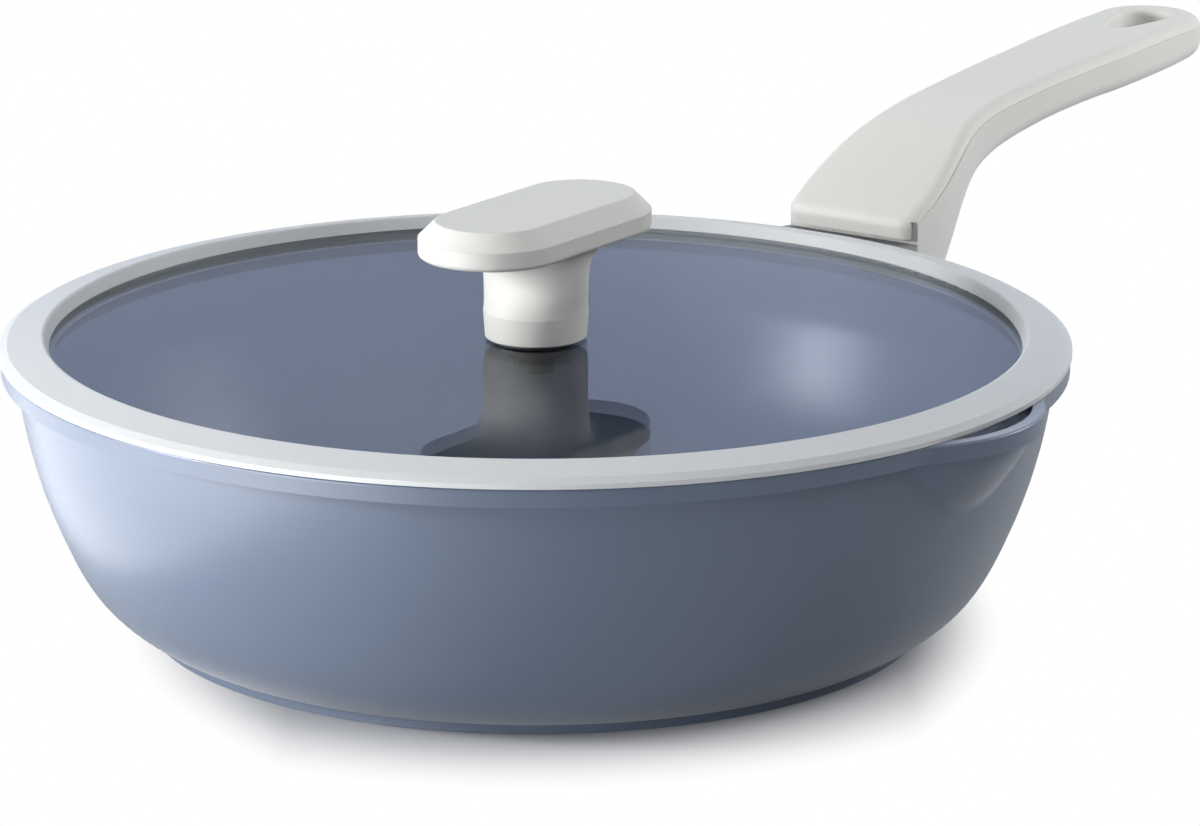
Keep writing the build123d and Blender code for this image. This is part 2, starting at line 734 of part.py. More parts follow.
def lid_ring():
    """Silicone ring turned from one section: crest, shoulder, skirt in the pan, and lips on the glass."""
    groove_radius = glass_radius + ring_fit
    crest_inner_radius = glass_radius - ring_glass_overlap_top
    crest_radius = crest_inner_radius + ring_crest_from_inner
    shoulder_radius = ring_outer_radius - ring_shoulder_from_outer
    skirt_radius = rim_inner_radius - ring_skirt_gap
    low_inner_radius = glass_radius - ring_glass_overlap_bottom
    seat_z = rim_z + lid_seat_gap
    edge_z = rim_z + ring_shoulder_above_rim / 2
    shoulder = (shoulder_radius, 0, rim_z + ring_shoulder_above_rim)
    crest = (crest_radius, 0, rim_z + ring_crest_above_rim)
    section = make_face(Polyline(
        (skirt_radius, 0, seat_z), (ring_outer_radius, 0, seat_z), (ring_outer_radius, 0, edge_z),
        shoulder, crest, (crest_inner_radius, 0, glass_top_z + ring_fit),
        (groove_radius, 0, glass_top_z + ring_fit), (groove_radius, 0, glass_bottom_z - ring_fit),
        (low_inner_radius, 0, glass_bottom_z - ring_fit),
        (low_inner_radius, 0, glass_bottom_z - ring_fit - ring_lip_thickness),
        (skirt_radius, 0, glass_bottom_z - ring_fit - ring_lip_thickness), close=True))
    for corner, radius in [(crest, ring_crest_round), (shoulder, ring_edge_round)]:
        section = fillet(section.vertices().sort_by_distance(corner)[0], radius)
    return turned(section)


def knob_slot():
    """The knob's oblong outline from above."""
    return SlotOverall(knob_length, knob_width)


def cap_peg_places():
    return [side * cap_peg_spread for side in (-1, 1)]


def knob_stem():
    """The stem from its round foot up into the plate, narrowed at both ends of the knob."""
    foot_top_z = knob_base_z + knob_foot_height
    rise = knob_plate_z - foot_top_z
    foot = Solid.make_cone(knob_base_radius, knob_foot_top_radius, knob_foot_height)
    sections = []
    for height_share, along_share, across_share in knob_stem_shares:
        outline = Ellipse(knob_foot_top_radius * along_share, knob_foot_top_radius * across_share)
        sections.append(Pos(0, 0, foot_top_z + rise * height_share) * outline)
    return Pos(0, 0, knob_base_z) * foot + loft(sections)


def knob_body():
    """The stem and the lower half of the plate."""
    plate = Pos(0, 0, knob_plate_z) * extrude(knob_slot(), knob_seam_z - knob_plate_z)
    plate = fillet(plate.faces().sort_by(Axis.Z)[0].edges(), knob_plate_edge_round)
    body = plate + knob_stem()
    body = fillet(body.edges().sort_by(Axis.Z)[0], knob_base_edge_round)
    body -= pin_up(insert_radius + insert_fit, knob_base_z, insert_length + insert_fit)
    body -= pin_up(insert_flange_radius + insert_fit, knob_base_z - overrun, insert_flange_height + overrun)
    for x in cap_peg_places():
        body -= pin_up(cap_peg_radius + cap_peg_fit, knob_seam_z - cap_peg_length - recess_fit,
                       cap_peg_length + recess_fit + overrun, x)
    return body


def knob_cap():
    """The chamfered top of the knob, with two pegs that go down into the plate."""
    cap = extrude(knob_slot(), knob_chamfer - cap_seam_fit, taper=knob_chamfer_degrees)
    cap = Pos(0, 0, knob_seam_z + cap_seam_fit) * cap
    cap = fillet(cap.faces().sort_by(Axis.Z)[-1].edges(), knob_crown_edge_round)
    for x in cap_peg_places():
        cap += pin_up(cap_peg_radius, knob_seam_z - cap_peg_length, cap_peg_length + cap_seam_fit, x)
    return cap


def knob_insert():
    tube = pin_up(insert_radius, knob_base_z, insert_length)
    tube += pin_up(insert_flange_radius, knob_base_z, insert_flange_height)
    return tube - pin_up(lid_screw_radius + thread_fit, knob_base_z - overrun, insert_length + 2 * overrun)


def lid_ring_part(radius, bottom, height):
    """A flat ring on the lid screw."""
    return ring_of(radius, lid_screw_radius + screw_hole_fit, bottom, height)


def knob_seal():
    return lid_ring_part(seal_radius, glass_top_z, seal_thickness)


def glass_bush():
    return lid_ring_part(glass_hole_radius - bush_fit, glass_bottom_z, glass_thickness)


def under_gasket():
    return lid_ring_part(under_gasket_radius, gasket_bottom_z, under_gasket_thickness)


def lid_washer():
    return lid_ring_part(lid_washer_radius, washer_bottom_z, lid_washer_thickness)


def lid_lock_washer():
    washer = lid_ring_part(lid_lock_washer_radius, lock_washer_bottom_z, lid_lock_washer_thickness)
    split = Pos(lid_lock_washer_radius, 0, lock_washer_bottom_z) * Box(
        2 * (lid_lock_washer_radius - lid_screw_radius + screw_hole_fit), lid_lock_washer_split,
        4 * lid_lock_washer_thickness)
    return washer - split


def lid_screw():
    length = knob_base_z + lid_screw_bite - lock_washer_bottom_z
    return screw_from_below(lock_washer_bottom_z, lid_screw_radius, length, lid_screw_head_radius,
                            lid_screw_head_height)


os.makedirs("parts", exist_ok=True)
save(pan_body(), "pan_body")
save(base_plate(), "base_plate")
save(bracket(), "handle_bracket")
save(bracket_screws(), "bracket_screws")
save(bracket_washers(), "bracket_washers")
save(handle_upper_shell(), "handle_upper_shell")
save(handle_lower_shell(), "handle_lower_shell")
save(handle_tang(), "handle_tang")
save(tang_screw(), "tang_screw")
save(handle_screw(), "handle_screw")
save(handle_washer(), "handle_washer")
save(shell_screws(), "shell_screws")
save(lid_glass(), "lid_glass")
save(lid_ring(), "lid_ring")
save(knob_body(), "knob_body")
save(knob_cap(), "knob_cap")
save(knob_insert(), "knob_insert")
save(knob_seal(), "knob_seal")
save(glass_bush(), "glass_bush")
save(under_gasket(), "under_gasket")
save(lid_washer(), "lid_washer")
save(lid_lock_washer(), "lid_lock_washer")
save(lid_screw(), "lid_screw")
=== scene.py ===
import math

import bpy
from bpy.props import FloatProperty, FloatVectorProperty, PointerProperty
from mathutils import Matrix, Vector

bl_info = {
    "name": "Saute Pan with Glass Lid",
    "version": (1, 0, 0),
    "blender": (4, 5, 0),
    "location": "3D View > Sidebar > Saute Pan",
    "description": "Finishes, floor, lamps and camera for a saute pan with a glass lid",
    "category": "Object",
}

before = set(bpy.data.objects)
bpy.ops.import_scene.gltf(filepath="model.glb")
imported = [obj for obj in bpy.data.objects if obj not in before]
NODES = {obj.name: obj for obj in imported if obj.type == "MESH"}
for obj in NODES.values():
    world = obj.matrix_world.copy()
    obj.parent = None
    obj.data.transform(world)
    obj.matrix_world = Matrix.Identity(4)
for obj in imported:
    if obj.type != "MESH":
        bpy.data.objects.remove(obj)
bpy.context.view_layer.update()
MM = 0.001

# The turned band of the pan starts and is whole at these heights, in millimetres
BAND_START = 64.5
BAND_WHOLE = 66.0
# Inside the pan the surface faces up by more than this share, and outside by less
INSIDE_START = 0.03
INSIDE_WHOLE = 0.2
# Noise values lie mostly between these two figures
NOISE_LOW = 0.3
NOISE_HIGH = 0.7


def linear(hex_colour):
    """An sRGB hex colour as linear red, green and blue."""
    shares = [int(hex_colour[start:start + 2], 16) / 255 for start in (1, 3, 5)]
    return [c / 12.92 if c <= 0.04045 else ((c + 0.055) / 1.055) ** 2.4 for c in shares]


def opaque(colour):
    """The colour with full alpha."""
    return (*colour[:3], 1.0)


def add(tree, kind, sockets=None, **settings):
    """Add one node with its settings, and set or link its input sockets."""
    node = tree.nodes.new(kind)
    for name, value in settings.items():
        setattr(node, name, value)
    for name, value in (sockets or {}).items():
        if isinstance(value, bpy.types.NodeSocket):
            tree.links.new(value, node.inputs[name])
        else:
            node.inputs[name].default_value = value
    return node


def start_material(name):
    material = bpy.data.materials.new(name)
    material.use_nodes = True
    material.node_tree.nodes.clear()
    return material


def end_material(material, shader):
    add(material.node_tree, "ShaderNodeOutputMaterial", {"Surface": shader.outputs[0]})
    return material


def per_size(size_mm):
    """The scale of a pattern whose grains are this many millimetres apart."""
    return 1 / (size_mm * MM)


def paint(material, *names):
    """Give a finish to CAD nodes."""
    for name in names:
        slots = NODES[name].data.materials
        slots.clear()
        slots.append(material)


def grain(tree, size_mm, detail=2.0, roughness=0.5, stretch=(1, 1, 1)):
    """Noise that sticks to the piece, with grains of a real size."""
    place = add(tree, "ShaderNodeTexCoord")
    spread = add(tree, "ShaderNodeMapping", {"Vector": place.outputs["Object"], "Scale": stretch})
    return add(tree, "ShaderNodeTexNoise", {
        "Vector": spread.outputs["Vector"], "Scale": per_size(size_mm), "Detail": detail,
        "Roughness": roughness})


def relief(tree, height, depth_mm, under=None, share=1.0):
    """A bump of a real depth, over another one if given, and only where its share says."""
    sockets = {"Height": height, "Distance": depth_mm * MM, "Strength": share}
    if under is not None:
        sockets["Normal"] = under.outputs["Normal"]
    return add(tree, "ShaderNodeBump", sockets)


def around(tree, height, low, high):
    """Spread a noise value between two figures."""
    return add(tree, "ShaderNodeMapRange", {
        "Value": height, "From Min": NOISE_LOW, "From Max": NOISE_HIGH, "To Min": low, "To Max": high})


def tinted(tree, height, colour, change):
    """The colour, a little darker and lighter by a noise value."""
    share = around(tree, height, 1 - change, 1 + change)
    return add(tree, "ShaderNodeVectorMath", {0: colour[:3], "Scale": share.outputs[0]},
               operation="SCALE")


class PanFinishes(bpy.types.PropertyGroup):
    """Colours and grain sizes of the finishes."""
    coating: FloatVectorProperty(
        name="Coating", description="Colour of the sprayed coating on the pan",
        subtype="COLOR", size=3, min=0, max=1, default=linear("#5F6B7E"))
    coating_peel: FloatProperty(
        name="Coating waviness", description="Width of the soft waves that spraying leaves, in millimetres",
        default=2.4, min=0.5, max=10)
    coating_grain: FloatProperty(
        name="Coating grain", description="Width of the grains that sparkle inside the pan, in millimetres",
        default=0.9, min=0.2, max=3)
    band_lines: FloatProperty(
        name="Band lines", description="Width of the fine turning marks on the rim band, in millimetres",
        default=0.5, min=0.1, max=3)
    grip: FloatVectorProperty(
        name="Handle", description="Colour of the soft-touch handle shells",
        subtype="COLOR", size=3, min=0, max=1, default=linear("#D9D9D4"))
    knob: FloatVectorProperty(
        name="Knob", description="Colour of the soft-touch knob",
        subtype="COLOR", size=3, min=0, max=1, default=linear("#D6D6D2"))
    moulded_grain: FloatProperty(
        name="Moulded grain", description="Width of the grains on the handle and knob, in millimetres",
        default=0.6, min=0.2, max=3)
    ring: FloatVectorProperty(
        name="Ring", description="Colour of the silicone ring round the glass",
        subtype="COLOR", size=3, min=0, max=1, default=linear("#CBCECF"))
    glass: FloatVectorProperty(
        name="Glass", description="Tint of the lid's glass",
        subtype="COLOR", size=3, min=0, max=1, default=linear("#D6D9DD"))
    bracket: FloatVectorProperty(
        name="Bracket", description="Colour of the painted bracket",
        subtype="COLOR", size=3, min=0, max=1, default=linear("#8A8B8D"))
    steel: FloatVectorProperty(
        name="Steel", description="Colour of the steel screws, washers and plate",
        subtype="COLOR", size=3, min=0, max=1, default=linear("#C9CACC"))
    # Partly painted shade: the screw and washers below the knob are coloured dark so that the spot under
    # the knob, seen through the glass, reads as dark as its contact shade
    dark_steel_and_shade: FloatVectorProperty(
        name="Dark steel and painted shade", description="Colour of the screw and washers below the knob",
        subtype="COLOR", size=3, min=0, max=1, default=linear("#3A3B3D"))
    brass: FloatVectorProperty(
        name="Brass", description="Colour of the threaded insert",
        subtype="COLOR", size=3, min=0, max=1, default=linear("#C8A25A"))
    # Partly painted shade: the seal and the gasket are coloured dark so that they draw the dark line of
    # contact shade under the knob's foot
    seal: FloatVectorProperty(
        name="Seals", description="Colour of the dark seal and gasket",
        subtype="COLOR", size=3, min=0, max=1, default=linear("#2A2B2E"))
    nylon: FloatVectorProperty(
        name="Nylon", description="Colour of the bush in the glass",
        subtype="COLOR", size=3, min=0, max=1, default=linear("#4A4B4E"))


class PanStage(bpy.types.PropertyGroup):
    """Floor, lamps and camera."""
    lens: FloatProperty(
        name="Lens", description="Focal length of the camera, in millimetres",
        default=163.28, min=20, max=400)
    side_lamp: FloatProperty(
        name="Side lamp", description="Power of the main lamp on the left",
        default=11.8, min=0, max=500, unit="POWER")
    low_lamp: FloatProperty(
        name="Low lamp", description="Power of the low soft lamp in front on the left",
        default=6.5, min=0, max=500, unit="POWER")
    floor_lamp: FloatProperty(
        name="Floor lamp", description="Power of the flat lamp that lies on the floor on the left",
        default=1.9, min=0, max=100, unit="POWER")
    floor_front_lamp: FloatProperty(
        name="Front floor lamp", description="Power of the smaller flat lamp, nearer the camera",
        default=0.9, min=0, max=100, unit="POWER")
    top_lamp: FloatProperty(
        name="Top lamp", description="Power of the soft lamp overhead",
        default=7.0, min=0, max=500, unit="POWER")
    fill_lamp: FloatProperty(
        name="Fill lamp", description="Power of the high soft lamp in front on the right",
        default=4.5, min=0, max=500, unit="POWER")
    right_lamp: FloatProperty(
        name="Right lamp", description="Power of the soft lamp on the right",
        default=5.0, min=0, max=500, unit="POWER")
    handle_lamp: FloatProperty(
        name="Handle lamp", description="Power of the small soft lamp beside the handle",
        default=0.75, min=0, max=100, unit="POWER")
    back_lamp: FloatProperty(
        name="Back lamp", description="Power of the high soft lamp behind the pan",
        default=3.6, min=0, max=500, unit="POWER")
    room: FloatProperty(
        name="Room light", description="Strength of the light that the room itself gives",
        default=0.03, min=0, max=5)
    mirrored: FloatProperty(
        name="Mirrored room", description="Strength at which glass and gloss show the room",
        default=0.42, min=0, max=5)
    backdrop: FloatProperty(
        name="Mirrored backdrop", description="Strength at which glass and gloss show the backdrop",
        default=1.3, min=0, max=5)
    backdrop_colour: FloatVectorProperty(
        name="Backdrop colour", description="Colour of the room that glass and gloss show",
        subtype="COLOR", size=3, min=0, max=1, default=linear("#D1DFFF"))
    paper: FloatVectorProperty(
        name="Paper", description="Colour of the paper on the floor, where the pan shades it",
        subtype="COLOR", size=3, min=0, max=1, default=linear("#C4C6CA"))
    floor_width: FloatProperty(
        name="Floor width", description="Width of the pale floor",
        default=12.0, min=2, max=50, unit="LENGTH")


def sprayed_ceramic(name, finishes):
    """Ceramic coating sprayed on cast aluminium: satin outside, and flecked inside to sparkle under a lamp.

    The real flecks are finer than a pixel, so they are drawn about twice as coarse. The rim band is turned
    before spraying, and its marks still show as faint upright lines.
    """
    material = start_material(name)
    tree = material.node_tree
    waves = grain(tree, finishes.coating_peel, 1.0)
    flecks = grain(tree, finishes.coating_grain, 2.0, 0.6)
    clouds = grain(tree, 70.0, 2.0)
    surface = add(tree, "ShaderNodeNewGeometry")
    facing = add(tree, "ShaderNodeSeparateXYZ", {0: surface.outputs["Normal"]})
    inside = add(tree, "ShaderNodeMapRange", {
        "Value": facing.outputs["Z"], "From Min": INSIDE_START, "From Max": INSIDE_WHOLE,
        "To Min": 0.0, "To Max": 1.0})
    place = add(tree, "ShaderNodeTexCoord")
    spot = add(tree, "ShaderNodeSeparateXYZ", {0: place.outputs["Object"]})
    band = add(tree, "ShaderNodeMapRange", {
        "Value": spot.outputs["Z"], "From Min": BAND_START * MM, "From Max": BAND_WHOLE * MM,
        "To Min": 0.0, "To Max": 1.0})
    upright = grain(tree, finishes.band_lines, 1.0, 0.5, stretch=(1, 1, 0.03))
    bump = relief(tree, waves.outputs[0], 0.012)
    bump = relief(tree, flecks.outputs[0], 0.045, bump, inside.outputs[0])
    bump = relief(tree, upright.outputs[0], 0.012, bump, band.outputs[0])
    colour = tinted(tree, clouds.outputs[0], finishes.coating, 0.02)
    gloss = around(tree, flecks.outputs[0], 0.29, 0.39)
    shader = add(tree, "ShaderNodeBsdfPrincipled", {
        "Base Color": colour.outputs[0], "Roughness": gloss.outputs[0], "IOR": 1.6,
        "Sheen Weight": 0.3, "Sheen Roughness": 0.4, "Normal": bump.outputs["Normal"]})
    return end_material(material, shader)


def soft_touch_plastic(name, colour, grain_mm):
    """Moulded nylon with a soft-touch lacquer: matt and powdery, with a very fine even grain."""
    material = start_material(name)
    tree = material.node_tree
    grains = grain(tree, grain_mm, 1.0, 0.6)
    clouds = grain(tree, 45.0, 2.0)
    bump = relief(tree, grains.outputs[0], 0.012)
    shade = tinted(tree, clouds.outputs[0], colour, 0.012)
    gloss = around(tree, grains.outputs[0], 0.5, 0.6)
    shader = add(tree, "ShaderNodeBsdfPrincipled", {
        "Base Color": shade.outputs[0], "Roughness": gloss.outputs[0], "IOR": 1.46,
        "Sheen Weight": 0.08, "Sheen Roughness": 0.4, "Normal": bump.outputs["Normal"]})
    return end_material(material, shader)


def moulded_silicone(name, colour):
    """Silicone rubber from a polished mould: smooth and satin, with a little light inside its edges."""
    material = start_material(name)
    tree = material.node_tree
    waves = grain(tree, 5.0, 1.0)
    clouds = grain(tree, 40.0, 2.0)
    bump = relief(tree, waves.outputs[0], 0.01)
    shade = tinted(tree, clouds.outputs[0], colour, 0.01)
    shader = add(tree, "ShaderNodeBsdfPrincipled", {
        "Base Color": shade.outputs[0], "Roughness": 0.46, "IOR": 1.41,
        "Subsurface Weight": 0.12, "Subsurface Radius": (1.0, 1.0, 1.0), "Subsurface Scale": 1.5 * MM,
        "Normal": bump.outputs["Normal"]})
    return end_material(material, shader)


def tempered_glass(name, colour):
    """Tempered soda-lime glass: faintly grey, mirror-smooth, and letting lamp light through to the pan."""
    material = start_material(name)
    tree = material.node_tree
    shader = add(tree, "ShaderNodeBsdfPrincipled", {
        "Base Color": opaque(colour), "Roughness": 0.0, "IOR": 1.12, "Transmission Weight": 1.0})
    through = add(tree, "ShaderNodeBsdfTransparent", {"Color": opaque(colour)})
    rays = add(tree, "ShaderNodeLightPath")
    lit = add(tree, "ShaderNodeMath", {0: rays.outputs["Is Shadow Ray"], 1: rays.outputs["Is Diffuse Ray"]},
              operation="MAXIMUM")
    mixed = add(tree, "ShaderNodeMixShader", {
        0: lit.outputs[0], 1: shader.outputs[0], 2: through.outputs[0]})
    return end_material(material, mixed)


def brushed_metal(name, colour, roughness, brush_mm):
    """Bare metal with fine drawn lines: bright, with its highlights spread across the lines."""
    material = start_material(name)
    tree = material.node_tree
    lines = grain(tree, brush_mm, 2.0, 0.6, stretch=(0.06, 1, 1))
    bump = relief(tree, lines.outputs[0], 0.004)
    gloss = around(tree, lines.outputs[0], roughness - 0.06, roughness + 0.06)
    shader = add(tree, "ShaderNodeBsdfPrincipled", {
        "Base Color": opaque(colour), "Metallic": 1.0, "Roughness": gloss.outputs[0],
        "Normal": bump.outputs["Normal"]})
    return end_material(material, shader)


def cast_paint(name, colour):
    """Grey paint on a die-cast bracket: flat, over the faint pebbling of the casting."""
    material = start_material(name)
    tree = material.node_tree
    pebbles = grain(tree, 0.9, 2.0, 0.6)
    bump = relief(tree, pebbles.outputs[0], 0.03)
    shade = tinted(tree, pebbles.outputs[0], colour, 0.03)
    shader = add(tree, "ShaderNodeBsdfPrincipled", {
        "Base Color": shade.outputs[0], "Roughness": 0.5, "IOR": 1.5, "Normal": bump.outputs["Normal"]})
    return end_material(material, shader)


def dull_rubber(name, colour, roughness):
    """Compression-moulded rubber or nylon: dark, dull and slightly mottled."""
    material = start_material(name)
    tree = material.node_tree
    mottle = grain(tree, 1.2, 2.0)
    bump = relief(tree, mottle.outputs[0], 0.02)
    shade = tinted(tree, mottle.outputs[0], colour, 0.06)
    shader = add(tree, "ShaderNodeBsdfPrincipled", {
        "Base Color": shade.outputs[0], "Roughness": roughness, "IOR": 1.5,
        "Normal": bump.outputs["Normal"]})
    return end_material(material, shader)


class PANLOOK_OT_pan(bpy.types.Operator):
    """Coat the cast pan inside and out"""
    bl_idname = "panlook.pan"
    bl_label = "Coat pan"

    def execute(self, context):
        paint(sprayed_ceramic("sprayed_ceramic_coating", context.scene.pan_finishes), "pan_body")
        return {"FINISHED"}


class PANLOOK_OT_bracket(bpy.types.Operator):
    """Paint the cast bracket"""
    bl_idname = "panlook.bracket"
    bl_label = "Paint bracket"

    def execute(self, context):
        paint(cast_paint("painted_casting", context.scene.pan_finishes.bracket), "handle_bracket")
        return {"FINISHED"}


class PANLOOK_OT_handle(bpy.types.Operator):
    """Finish both shells of the handle"""
    bl_idname = "panlook.handle"
    bl_label = "Finish handle"

    def execute(self, context):
        finishes = context.scene.pan_finishes
        plastic = soft_touch_plastic("soft_touch_handle", finishes.grip, finishes.moulded_grain)
        paint(plastic, "handle_upper_shell", "handle_lower_shell")
        return {"FINISHED"}


class PANLOOK_OT_knob(bpy.types.Operator):
    """Finish the knob and its cap"""
    bl_idname = "panlook.knob"
    bl_label = "Finish knob"

    def execute(self, context):
        finishes = context.scene.pan_finishes
        plastic = soft_touch_plastic("soft_touch_knob", finishes.knob, finishes.moulded_grain)
        paint(plastic, "knob_body", "knob_cap")
        return {"FINISHED"}


class PANLOOK_OT_ring(bpy.types.Operator):
    """Finish the silicone ring"""
    bl_idname = "panlook.ring"
    bl_label = "Finish ring"

    def execute(self, context):
        paint(moulded_silicone("moulded_silicone", context.scene.pan_finishes.ring), "lid_ring")
        return {"FINISHED"}


class PANLOOK_OT_glass(bpy.types.Operator):
    """Finish the glass of the lid"""
    bl_idname = "panlook.glass"
    bl_label = "Finish glass"

    def execute(self, context):
        paint(tempered_glass("tempered_glass", context.scene.pan_finishes.glass), "lid_glass")
        return {"FINISHED"}


class PANLOOK_OT_fixings(bpy.types.Operator):
    """Finish the steel screws, washers, strip and base plate, and the brass insert"""
    bl_idname = "panlook.fixings"
    bl_label = "Finish fixings"

    def execute(self, context):
        finishes = context.scene.pan_finishes
        bright = brushed_metal("bright_steel_fixings", finishes.steel, 0.26, 0.5)
        paint(bright, "bracket_screws", "bracket_washers", "tang_screw", "handle_screw", "handle_washer",
              "shell_screws")
        # Partly painted shade: the screw and washers under the knob are dark grey so that they darken the
        # spot below the knob, seen through the glass
        dark_steel_and_shade = brushed_metal("blackened_steel_fixings", finishes.dark_steel_and_shade, 0.4, 0.5)
        paint(dark_steel_and_shade, "lid_screw", "lid_washer", "lid_lock_washer")
        paint(brushed_metal("brushed_steel_plate", finishes.steel, 0.36, 0.8), "base_plate", "handle_tang")
        paint(brushed_metal("turned_brass", finishes.brass, 0.3, 0.5), "knob_insert")
        return {"FINISHED"}


class PANLOOK_OT_seals(bpy.types.Operator):
    """Finish the seal, the gasket and the bush at the knob"""
    bl_idname = "panlook.seals"
    bl_label = "Finish seals"

    def execute(self, context):
        finishes = context.scene.pan_finishes
        # Partly painted shade: the seal and gasket are dark so that they draw the line of contact shade
        # under the knob
        paint(dull_rubber("dark_silicone_seal", finishes.seal, 0.55), "knob_seal", "under_gasket")
        paint(dull_rubber("moulded_nylon_bush", finishes.nylon, 0.45), "glass_bush")
        return {"FINISHED"}


# The photograph's view: where the camera stands, in metres, and the way it faces. LEFT and BACK lie flat
CAMERA_PLACE = Vector((-1.15336, -0.81814, 0.44403))
CAMERA_FORWARD = Vector((0.79321, 0.54827, -0.26498))
CAMERA_RIGHT = Vector((0.56914, -0.82224, 0.00242))
LEFT = Vector((-0.5686, 0.8226, 0.0))
BACK = Vector((0.8226, 0.5686, 0.0))
# The camera's sensor in millimetres, and the nearest and furthest things it sees in metres
SENSOR_WIDTH = 36.0
CAMERA_CLIPS = (0.05, 50.0)
# The floor lies this far below the foot, so that the two don't share a face
FLOOR_DROP = -0.2 * MM


# The paper turns white between these distances from the pan's middle, in metres
PAPER_SHADED = 0.1
PAPER_WHITE = 0.15
# To the sides it turns white sooner: the middle shifts, and between the start and the end up to the gain is
# added to the distance
SIDE_SHIFT = 0.018
SIDE_START = 0.08
SIDE_END = 0.18
SIDE_GAIN = 0.075


def floor_material(stage):
    """Pale seamless paper with the pan's shadow near the foot. The camera sees it white further out."""
    material = start_material("seamless_paper")
    tree = material.node_tree
    paper = add(tree, "ShaderNodeBsdfDiffuse", {"Color": opaque(stage.paper)})
    glow = add(tree, "ShaderNodeEmission", {"Color": opaque(linear("#FFFFFF")), "Strength": 1.0})
    rays = add(tree, "ShaderNodeLightPath")
    seen = add(tree, "ShaderNodeMath", {
        0: rays.outputs["Is Camera Ray"], 1: rays.outputs["Is Transmission Ray"]}, operation="MAXIMUM")
    place = add(tree, "ShaderNodeTexCoord")
    distance = add(tree, "ShaderNodeVectorMath", {0: place.outputs["Object"]}, operation="LENGTH")
    sideways = add(tree, "ShaderNodeVectorMath", {0: place.outputs["Object"], 1: tuple(LEFT)},
                   operation="DOT_PRODUCT")
    shifted = add(tree, "ShaderNodeMath", {0: sideways.outputs["Value"], 1: SIDE_SHIFT}, operation="ADD")
    aside = add(tree, "ShaderNodeMath", {0: shifted.outputs[0]}, operation="ABSOLUTE")
    beyond = add(tree, "ShaderNodeMapRange", {
        "Value": aside.outputs[0], "From Min": SIDE_START, "From Max": SIDE_END,
        "To Min": 0.0, "To Max": SIDE_GAIN})
    reach = add(tree, "ShaderNodeMath", {0: beyond.outputs[0], 1: distance.outputs["Value"]},
                operation="ADD")
    far = add(tree, "ShaderNodeMapRange", {
        "Value": reach.outputs[0], "From Min": PAPER_SHADED, "From Max": PAPER_WHITE,
        "To Min": 0.0, "To Max": 1.0}, interpolation_type="SMOOTHSTEP")
    share = add(tree, "ShaderNodeMath", {0: far.outputs[0], 1: seen.outputs[0]}, operation="MULTIPLY")
    mixed = add(tree, "ShaderNodeMixShader", {
        0: share.outputs[0], 1: paper.outputs[0], 2: glow.outputs[0]})
    return end_material(material, mixed)


def beside(turn, distance, height):
    """A place round the pan, this many degrees to the left of the camera's side."""
    angle = math.radians(turn)
    return (LEFT * math.sin(angle) - BACK * math.cos(angle)) * distance + Vector((0, 0, height))


# What the lamps point at, in metres
PAN_MIDDLE = Vector((0, 0, 0.05))
LOW_IN_PAN = Vector((0, 0, 0.11))
HANDLE_MIDDLE = Vector((0.25, 0, 0.09))
UP = Vector((0, 0, 1))
ON_FLOOR = beside(80, 0.46, 0.001)
ON_FLOOR_IN_FRONT = beside(50, 0.47, 0.0012)

# Each lamp: its name, place, width, height and what it points at, in metres, and its shape
SOFT_LAMPS = (
    ("side_lamp", beside(77, 1.09, 0.374), 0.28, 0.28, PAN_MIDDLE, "RECTANGLE"),
    ("low_lamp", beside(45, 1.1, 0.11), 0.5, 0.22, LOW_IN_PAN, "RECTANGLE"),
    ("floor_lamp", ON_FLOOR, 0.62, 0.62, ON_FLOOR + UP, "ELLIPSE"),
    ("floor_front_lamp", ON_FLOOR_IN_FRONT, 0.5, 0.5, ON_FLOOR_IN_FRONT + UP, "ELLIPSE"),
    ("top_lamp", Vector((0, 0, 1.5)), 1.8, 1.8, PAN_MIDDLE, "RECTANGLE"),
    ("fill_lamp", beside(-45, 1.3, 1.1), 1.2, 1.2, PAN_MIDDLE, "RECTANGLE"),
    ("right_lamp", beside(-100, 1.27, 0.6), 0.8, 0.5, PAN_MIDDLE, "RECTANGLE"),
    ("handle_lamp", Vector((0.5, -0.35, 0.3)), 0.3, 0.3, HANDLE_MIDDLE, "RECTANGLE"),
    ("back_lamp", beside(180, 1.2, 1.2), 1.2, 1.2, PAN_MIDDLE, "RECTANGLE"),
)


def soft_lamp(name, place, width, height, target, shape, power):
    """A soft lamp that lights the object and stays unseen."""
    data = bpy.data.lights.new(name, "AREA")
    data.shape = shape
    data.size = width
    data.size_y = height
    data.energy = power
    lamp = bpy.data.objects.new(name, data)
    lamp.location = place
    lamp.rotation_mode = "QUATERNION"
    lamp.rotation_quaternion = (target - place).to_track_quat("-Z", "Y")
    lamp.visible_camera = False
    bpy.context.scene.collection.objects.link(lamp)


# The backdrop's middle lies behind the pan and this much higher for each metre back
BACKDROP_RISE = 0.26
# Cosines of the angle from that middle at which the backdrop ends and at which it is brightest
BACKDROP_END = 0.5
BACKDROP_BRIGHT = 0.95


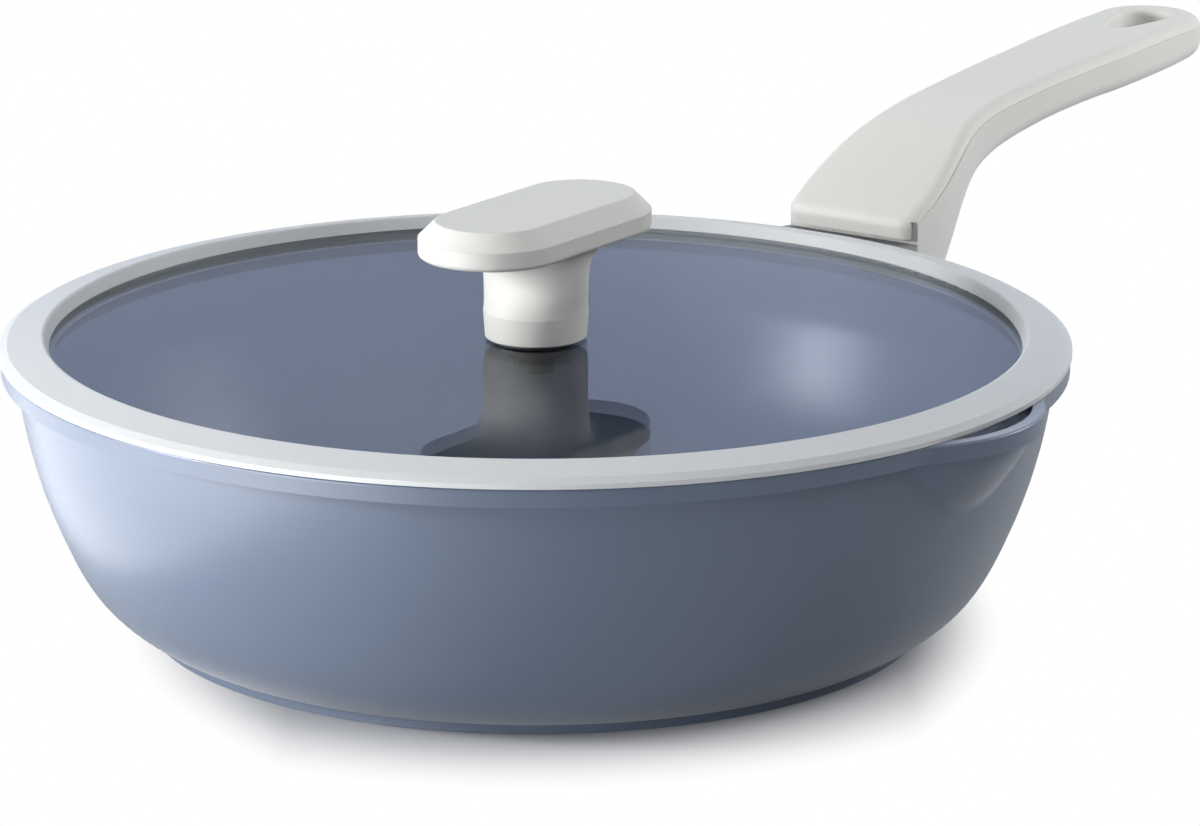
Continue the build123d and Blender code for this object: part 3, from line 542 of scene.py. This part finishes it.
def studio_world(stage):
    """A pale room that the camera sees white. Glass and gloss show its walls and the brighter backdrop."""
    world = bpy.data.worlds.new("studio_room")
    bpy.context.scene.world = world
    world.use_nodes = True
    tree = world.node_tree
    tree.nodes.clear()
    rays = add(tree, "ShaderNodeLightPath")
    shiny = add(tree, "ShaderNodeMath", {
        0: rays.outputs["Is Glossy Ray"], 1: rays.outputs["Is Transmission Ray"]}, operation="MAXIMUM")
    place = add(tree, "ShaderNodeTexCoord")
    middle = (BACK + UP * BACKDROP_RISE).normalized()
    backwards = add(tree, "ShaderNodeVectorMath", {0: place.outputs["Generated"], 1: tuple(middle)},
                    operation="DOT_PRODUCT")
    walls = add(tree, "ShaderNodeMapRange", {
        "Value": backwards.outputs["Value"], "From Min": BACKDROP_END, "From Max": BACKDROP_BRIGHT,
        "To Min": stage.mirrored, "To Max": stage.backdrop}, interpolation_type="SMOOTHSTEP")
    lit = add(tree, "ShaderNodeMapRange", {
        "Value": shiny.outputs[0], "From Min": 0.0, "From Max": 1.0, "To Min": stage.room,
        "To Max": walls.outputs[0]})
    shown = add(tree, "ShaderNodeMath", {0: lit.outputs[0], 1: rays.outputs["Is Camera Ray"]},
                operation="MAXIMUM")
    # Sockets 0, 6 and 7 are the share and the two colours, and output 2 is the mixed colour
    colour = add(tree, "ShaderNodeMix", {
        0: shiny.outputs[0], 6: opaque(linear("#FFFFFF")), 7: opaque(stage.backdrop_colour)},
        data_type="RGBA")
    light = add(tree, "ShaderNodeBackground", {"Color": colour.outputs[2], "Strength": shown.outputs[0]})
    add(tree, "ShaderNodeOutputWorld", {"Surface": light.outputs[0]})


class PANLOOK_OT_stage(bpy.types.Operator):
    """Set up the floor, the lamps, the room and the camera"""
    bl_idname = "panlook.stage"
    bl_label = "Set up stage"

    def execute(self, context):
        scene = context.scene
        stage = scene.pan_stage
        half = stage.floor_width / 2
        mesh = bpy.data.meshes.new("floor")
        corners = [(-half, -half, 0), (half, -half, 0), (half, half, 0), (-half, half, 0)]
        mesh.from_pydata(corners, [], [(0, 1, 2, 3)])
        mesh.materials.append(floor_material(stage))
        floor = bpy.data.objects.new("floor", mesh)
        floor.location.z = FLOOR_DROP
        scene.collection.objects.link(floor)
        for name, *where, shape in SOFT_LAMPS:
            soft_lamp(name, *where, shape, getattr(stage, name))
        studio_world(stage)
        data = bpy.data.cameras.new("camera")
        data.sensor_fit = "HORIZONTAL"
        data.sensor_width = SENSOR_WIDTH
        data.lens = stage.lens
        data.clip_start, data.clip_end = CAMERA_CLIPS
        camera = bpy.data.objects.new("camera", data)
        up = CAMERA_RIGHT.cross(CAMERA_FORWARD)
        turn = Matrix((CAMERA_RIGHT, up, -CAMERA_FORWARD)).transposed()
        camera.matrix_world = Matrix.Translation(CAMERA_PLACE) @ turn.to_4x4()
        scene.collection.objects.link(camera)
        scene.camera = camera
        scene.view_settings.view_transform = "Standard"
        return {"FINISHED"}


class PANLOOK_PT_sidebar(bpy.types.Panel):
    """Finishes and stage of the saute pan"""
    bl_idname = "PANLOOK_PT_sidebar"
    bl_label = "Saute Pan"
    bl_space_type = "VIEW_3D"
    bl_region_type = "UI"
    bl_category = "Saute Pan"

    def draw(self, context):
        for group in (context.scene.pan_finishes, context.scene.pan_stage):
            box = self.layout.box()
            for name in group.__annotations__:
                box.prop(group, name)
        for operator in OPERATORS:
            self.layout.operator(operator.bl_idname)


OPERATORS = (PANLOOK_OT_pan, PANLOOK_OT_bracket, PANLOOK_OT_handle, PANLOOK_OT_knob, PANLOOK_OT_ring,
             PANLOOK_OT_glass, PANLOOK_OT_fixings, PANLOOK_OT_seals, PANLOOK_OT_stage)
CLASSES = (PanFinishes, PanStage, *OPERATORS, PANLOOK_PT_sidebar)


def register():
    for cls in CLASSES:
        bpy.utils.register_class(cls)
    bpy.types.Scene.pan_finishes = PointerProperty(type=PanFinishes)
    bpy.types.Scene.pan_stage = PointerProperty(type=PanStage)


def unregister():
    del bpy.types.Scene.pan_stage
    del bpy.types.Scene.pan_finishes
    for cls in reversed(CLASSES):
        bpy.utils.unregister_class(cls)


def main():
    register()
    bpy.ops.panlook.pan()
    bpy.ops.panlook.bracket()
    bpy.ops.panlook.handle()
    bpy.ops.panlook.knob()
    bpy.ops.panlook.ring()
    bpy.ops.panlook.glass()
    bpy.ops.panlook.fixings()
    bpy.ops.panlook.seals()
    bpy.ops.panlook.stage()


if __name__ == "__main__":
    main()
